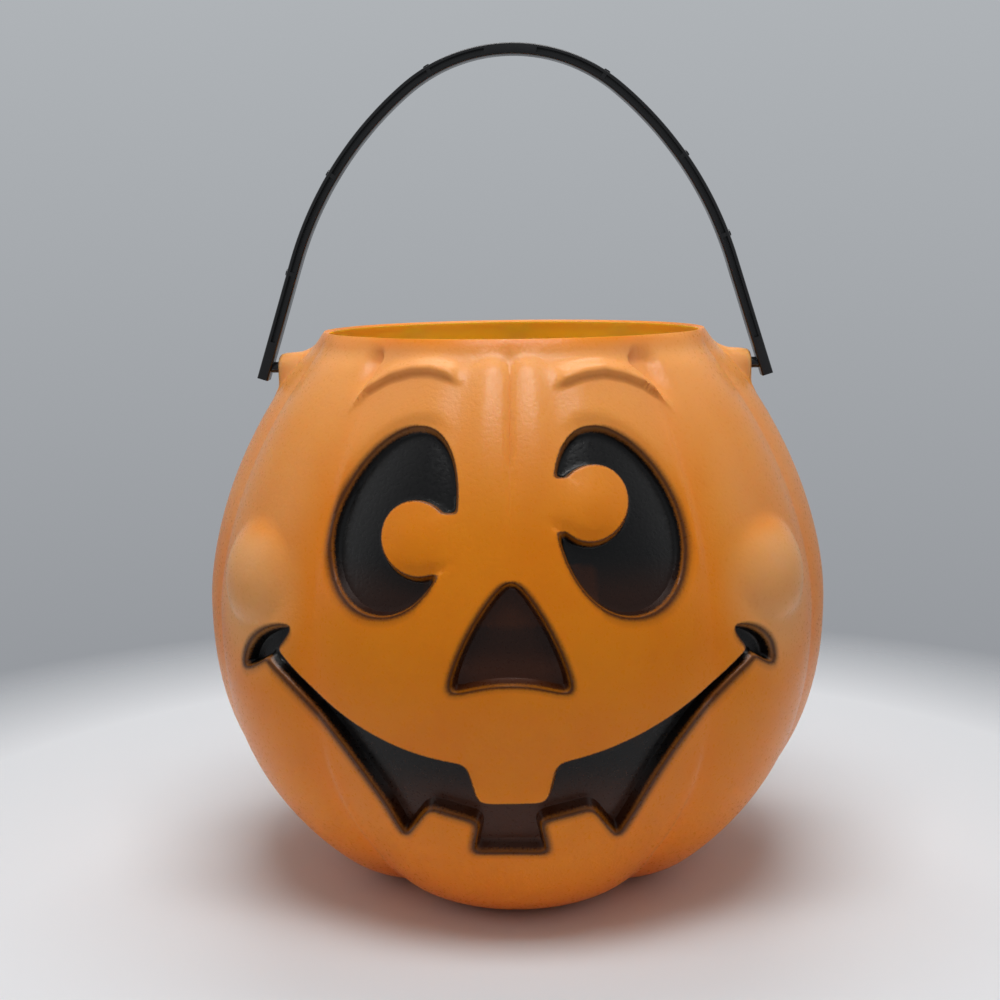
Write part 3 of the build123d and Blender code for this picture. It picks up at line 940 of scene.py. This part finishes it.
def make_strap_tree(sizes):
    """Strap swept along the path, channels cut in its sides, ribs and pads set along it."""
    tree = bpy.data.node_groups.new("strap_along_path", "GeometryNodeTree")
    panel = tree.interface
    panel.new_socket("Path", in_out="INPUT", socket_type="NodeSocketGeometry")
    for name in sizes:
        panel.new_socket(name, in_out="INPUT", socket_type="NodeSocketFloat")
    panel.new_socket("Plastic", in_out="INPUT", socket_type="NodeSocketMaterial")
    panel.new_socket("Handle", in_out="OUTPUT", socket_type="NodeSocketGeometry")
    given = add_node(tree, "NodeGroupInput").outputs

    path = add_node(tree, "GeometryNodeMeshToCurve", {"Mesh": given["Path"]})
    path = add_node(tree, "GeometryNodeSetCurveNormal", {"Curve": path}, mode="Z_UP")
    section = add_node(tree, "GeometryNodeCurvePrimitiveQuadrilateral",
                       {"Width": given["Strap Width"], "Height": given["Strap Thickness"]})
    section = add_node(tree, "GeometryNodeFilletCurve",
                       {"Curve": section, "Radius": given["Corner"], "Count": 3}, mode="POLY")
    strap = add_node(tree, "GeometryNodeCurveToMesh",
                     {"Curve": path, "Profile Curve": section, "Fill Caps": True})

    # One channel down each side of each half, from above the peg to short of the crown
    length = add_node(tree, "GeometryNodeCurveLength", {"Curve": path})
    middle = add_node(tree, "ShaderNodeMath", {0: length, 1: 0.5}, operation="MULTIPLY")
    near_end, far_start, far_end, reach = (
        add_node(tree, "ShaderNodeMath", {0: first, 1: second}, operation=operation)
        for first, second, operation in ((middle, given["Crown Grip"], "SUBTRACT"),
                                         (middle, given["Crown Grip"], "ADD"),
                                         (length, given["Channel Start"], "SUBTRACT"),
                                         (given["Channel Depth"], 2.0, "MULTIPLY")))
    groove = add_node(tree, "GeometryNodeCurvePrimitiveQuadrilateral",
                      {"Width": reach, "Height": given["Channel Width"]})
    cuts = []
    for start, end in ((given["Channel Start"], near_end), (far_start, far_end)):
        run = add_node(tree, "GeometryNodeTrimCurve", {"Curve": path, 4: start, 5: end}, mode="LENGTH")
        for side in (-0.5, 0.5):
            shift = add_node(tree, "ShaderNodeMath", {0: given["Strap Width"], 1: side},
                             operation="MULTIPLY")
            place = add_node(tree, "ShaderNodeCombineXYZ", {"X": shift})
            moved = add_node(tree, "GeometryNodeTransform", {"Geometry": groove, "Translation": place})
            sweep = {"Curve": run, "Profile Curve": moved, "Fill Caps": True}
            cuts.append(add_node(tree, "GeometryNodeCurveToMesh", sweep))
    carved = add_node(tree, "GeometryNodeMeshBoolean", {"Mesh 1": strap}, operation="DIFFERENCE",
                      solver="EXACT")
    for cut in cuts:
        fill_inputs(carved, {"Mesh 2": cut})

    # A pad outside and a rib across both channels at each marked point of the path
    marked = add_node(tree, "GeometryNodeInputNamedAttribute", {"Name": "nub"}, data_type="BOOLEAN")
    outward = add_node(tree, "GeometryNodeInputNamedAttribute", {"Name": "outward"},
                       data_type="FLOAT_VECTOR")
    spots = add_node(tree, "GeometryNodeMeshToPoints", {"Mesh": given["Path"], "Selection": marked})
    turn = add_node(tree, "FunctionNodeAlignRotationToVector", {"Vector": outward}, axis="Z")
    turn = add_node(tree, "FunctionNodeAlignRotationToVector", {"Rotation": turn, "Vector": (0.0, 1.0, 0.0)},
                    axis="Y", pivot_axis="Z")
    nub_top = add_node(tree, "ShaderNodeMath", {0: given["Strap Thickness"], 1: 0.5, 2: given["Nub Rise"]},
                       operation="MULTIPLY_ADD")
    nub_tip = add_node(tree, "ShaderNodeMath", {0: given["Nub Radius"], 1: 0.86}, operation="MULTIPLY")
    nub = add_node(tree, "GeometryNodeMeshCone",
                   {"Vertices": 20, "Side Segments": 1, "Fill Segments": 1, "Radius Top": nub_tip,
                    "Radius Bottom": given["Nub Radius"], "Depth": nub_top})
    rib_width = add_node(tree, "ShaderNodeMath", {0: given["Corner"], 1: -1.2, 2: given["Strap Width"]},
                         operation="MULTIPLY_ADD")
    rib_height = add_node(tree, "ShaderNodeMath", {0: given["Channel Width"], 1: given["Corner"]},
                          operation="ADD")
    rib_size = add_node(tree, "ShaderNodeCombineXYZ",
                        {"X": given["Rib Thickness"], "Y": rib_width, "Z": rib_height})
    rib = add_node(tree, "GeometryNodeMeshCube", {"Size": rib_size})
    pattern = add_node(tree, "GeometryNodeJoinGeometry")
    fill_inputs(pattern, {0: rib})
    fill_inputs(pattern, {0: nub})
    set_out = add_node(tree, "GeometryNodeInstanceOnPoints",
                       {"Points": spots, "Instance": pattern, "Rotation": turn})
    whole = add_node(tree, "GeometryNodeJoinGeometry")
    fill_inputs(whole, {0: set_out})
    fill_inputs(whole, {0: carved})
    real = add_node(tree, "GeometryNodeRealizeInstances", {"Geometry": whole})
    done = add_node(tree, "GeometryNodeSetMaterial", {"Geometry": real, "Material": given["Plastic"]})
    add_node(tree, "NodeGroupOutput", {"Handle": done})
    return tree


def nodes_to_mesh(obj):
    """The evaluated result as a plain mesh, with the modifier gone."""
    evaluated = obj.evaluated_get(bpy.context.evaluated_depsgraph_get())
    mesh = bpy.data.meshes.new_from_object(evaluated)
    obj.modifiers.clear()
    obj.data = mesh


def make_carry_handle():
    """The strap along its path, with the two pegs at its feet."""
    plastic = make_handle_material()
    line = handle_path()
    run = np.concatenate([[0], np.cumsum(np.hypot(*np.diff(line, axis=0).T))])
    marks = np.array(NUB_PLACES) * run[-1]
    places = np.array(sorted(set(run.tolist() + marks.tolist())))
    x, z = (np.interp(places, run, line[:, i]) for i in (0, 1))
    tangent = np.stack([np.gradient(x, places), np.gradient(z, places)], -1)
    tangent /= np.linalg.norm(tangent, axis=1)[:, None]
    path = bpy.data.meshes.new("carry_handle_path")
    path.from_pydata((np.stack([x, np.zeros_like(x), z], -1) * MM).tolist(),
                     [(i, i + 1) for i in range(len(x) - 1)], [])
    is_nub = np.array([np.abs(marks - p).min() < 1e-6 for p in places])
    path.attributes.new("nub", "BOOLEAN", "POINT").data.foreach_set("value", is_nub)
    outward = np.stack([-tangent[:, 1], np.zeros_like(x), tangent[:, 0]], -1).astype(np.float32)
    path.attributes.new("outward", "FLOAT_VECTOR", "POINT").data.foreach_set("vector", outward.ravel())
    strap = put_in_scene("carry_handle_strap", path)

    sizes = {"Strap Width": STRAP_WIDTH, "Strap Thickness": STRAP_THICKNESS, "Corner": STRAP_CORNER,
             "Channel Width": CHANNEL_WIDTH, "Channel Depth": CHANNEL_DEPTH, "Crown Grip": CROWN_GRIP,
             "Channel Start": LEG_OVERRUN + CHANNEL_START / math.sin(LEG_ANGLE),
             "Rib Thickness": RIB_THICKNESS, "Nub Radius": NUB_RADIUS, "Nub Rise": NUB_RISE}
    tree = make_strap_tree(sizes)
    modifier = strap.modifiers.new("strap_along_path", "NODES")
    modifier.node_group = tree
    for item in tree.interface.items_tree:
        if item.name in sizes:
            modifier[item.identifier] = sizes[item.name] * MM
        elif item.name == "Plastic":
            modifier[item.identifier] = plastic
    nodes_to_mesh(strap)
    add_pegs(strap, line)
    strap.data.materials.clear()
    strap.data.materials.append(plastic)
    strap.data.polygons.foreach_set("material_index", np.zeros(len(strap.data.polygons), dtype=np.int32))
    strap.data.shade_smooth()
    strap.data.set_sharp_from_angle(angle=math.radians(32))
    return strap


def add_pegs(strap, line):
    """Turned pegs with their barbs, joined to the strap's mesh."""
    foot_x = float(np.interp(PIVOT_HEIGHT, line[-10:, 1][::-1], line[-10:, 0][::-1]))
    tip = SOCKET_END - WALL - 2.6
    shaft = PEG_RADIUS - 0.08  # clear of the flats between the hole's points
    profile = ((tip, 0.0), (tip, 1.4), (tip + 0.3, 1.75), (tip + 2.0, BARB_RADIUS), (tip + 2.02, shaft),
               (foot_x, shaft))
    count = 28
    points, faces = [], []
    for side in (-1, 1):
        start = len(points)
        for x, r in profile:
            for k in range(count):
                a = 2 * math.pi * k / count
                points.append((side * x, r * math.cos(a), PIVOT_HEIGHT + r * math.sin(a)))
        for i in range(len(profile) - 1):
            for k in range(count):
                m = (k + 1) % count
                ring = [start + row * count + at for row, at in ((i, k), (i, m), (i + 1, m), (i + 1, k))]
                faces.append(ring if side < 0 else ring[::-1])
        last = [start + (len(profile) - 1) * count + k for k in range(count)]
        faces.append(last if side < 0 else last[::-1])
    pegs = bpy.data.meshes.new("carry_handle_pegs")
    pegs.from_pydata((np.array(points) * MM).tolist(), [], faces)
    joined = bmesh.new()
    joined.from_mesh(strap.data)
    joined.from_mesh(pegs)
    bmesh.ops.remove_doubles(joined, verts=joined.verts, dist=1e-6)
    bmesh.ops.dissolve_degenerate(joined, dist=1e-6, edges=joined.edges)
    joined.to_mesh(strap.data)
    joined.free()
    bpy.data.meshes.remove(pegs)


def make_floor():
    """Pale floor round the pail that fades into the grey of the studio, and is clear from below."""
    material, tree, paint = new_material("matt_painted_board")
    place = add_node(tree, "ShaderNodeTexCoord").outputs["Object"]
    away = add_node(tree, "ShaderNodeVectorMath", {0: place}, operation="LENGTH")
    fade = add_node(tree, "ShaderNodeMapRange", {0: away, 1: 0.25, 2: 0.38})
    below = add_node(tree, "ShaderNodeNewGeometry").outputs["Backfacing"]
    fade = add_node(tree, "ShaderNodeMath", {0: fade, 1: below}, operation="MAXIMUM")
    clear = add_node(tree, "ShaderNodeBsdfTransparent")
    board = add_node(tree, "ShaderNodeMixShader", {0: fade, 1: paint, 2: clear})
    fill_inputs(tree.nodes["Material Output"], {"Surface": board})
    fill_inputs(paint, {"Base Color": hex_colour("#E4E6E9"), "Roughness": 0.7})
    corners = [(-600, -600, 0), (600, -600, 0), (600, 600, 0), (-600, 600, 0)]
    mesh_object("studio_floor", corners, [(0, 1, 2, 3)], [material])


def make_camera():
    """Camera at the photograph's viewing angle, from sizes fitted to the rim, base and outline."""
    yaw, pitch, roll = (math.radians(a) for a in (1.65, 8.79, 0.75))
    forward = Vector((-math.sin(yaw) * math.cos(pitch), math.cos(yaw) * math.cos(pitch), -math.sin(pitch)))
    level = Vector((math.cos(yaw), math.sin(yaw), 0))
    upright = level.cross(forward)
    right = level * math.cos(roll) - upright * math.sin(roll)
    up = upright * math.cos(roll) + level * math.sin(roll)
    camera = put_in_scene("camera", bpy.data.cameras.new("camera"))
    camera.data.lens = 59.4
    camera.data.sensor_width = 36
    camera.data.clip_start = 0.01
    camera.matrix_world = Matrix.Translation((0.01116, -0.58192, 0.2194)) @ Matrix(
        (right, up, -forward)).transposed().to_4x4()
    bpy.context.scene.camera = camera


def add_lamp(name, place, aim, size, power):
    lamp = bpy.data.lights.new(name, "AREA")
    lamp.shape = "RECTANGLE"
    lamp.size, lamp.size_y = size
    lamp.energy = power
    obj = put_in_scene(name, lamp)
    obj.location = place
    obj.rotation_euler = (Vector(aim) - Vector(place)).to_track_quat("-Z", "Y").to_euler()
    obj.visible_camera = False


def make_lights():
    world = bpy.data.worlds.new("soft_room")
    world.use_nodes = True
    tree = world.node_tree
    bpy.context.scene.world = world
    fill = tree.nodes["Background"]
    fill_inputs(fill, {"Color": hex_colour("#F4F5F8"), "Strength": 0.22})
    # The eye and the gloss see a grey backdrop, a little lighter towards the top
    aim = add_node(tree, "ShaderNodeTexCoord").outputs["Generated"]
    height = add_node(tree, "ShaderNodeSeparateXYZ", {0: aim}).outputs["Z"]
    rise = add_node(tree, "ShaderNodeMapRange", {0: height, 1: -0.27, 2: 0.14})
    grey = add_node(tree, "ShaderNodeMix", {0: rise, 6: hex_colour("#94979C"), 7: hex_colour("#AFB3B7")},
                    data_type="RGBA")
    backdrop = add_node(tree, "ShaderNodeBackground", {"Color": grey})
    ray = add_node(tree, "ShaderNodeLightPath").outputs
    seen = ray["Is Camera Ray"]
    for kind in ("Is Glossy Ray", "Is Transmission Ray"):
        seen = add_node(tree, "ShaderNodeMath", {0: seen, 1: ray[kind]}, operation="MAXIMUM")
    room = add_node(tree, "ShaderNodeMixShader", {0: seen, 1: fill, 2: backdrop})
    fill_inputs(tree.nodes["World Output"], {"Surface": room})
    add_lamp("top_softbox", (0.0, -0.3, 1.0), (0, 0, 0.1), (0.6, 0.32), 5.7)
    add_lamp("rear_softbox", (0.0, 0.32, 0.9), (0, 0.05, 0.18), (0.6, 0.3), 2.6)
    add_lamp("left_softbox", (-0.8, -0.1, 0.5), (0, 0, 0.12), (0.5, 0.8), 0.8)
    add_lamp("right_softbox", (0.8, -0.1, 0.5), (0, 0, 0.12), (0.5, 0.8), 0.7)


def main():
    bpy.context.scene.view_settings.view_transform = "Standard"
    make_camera()
    make_lights()
    make_floor()
    shell = make_pail_shell()
    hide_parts("pail_shell")
    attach(shell, "pail")
    handle = make_carry_handle()
    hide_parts("carry_handle")
    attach(handle, "handle")


main()
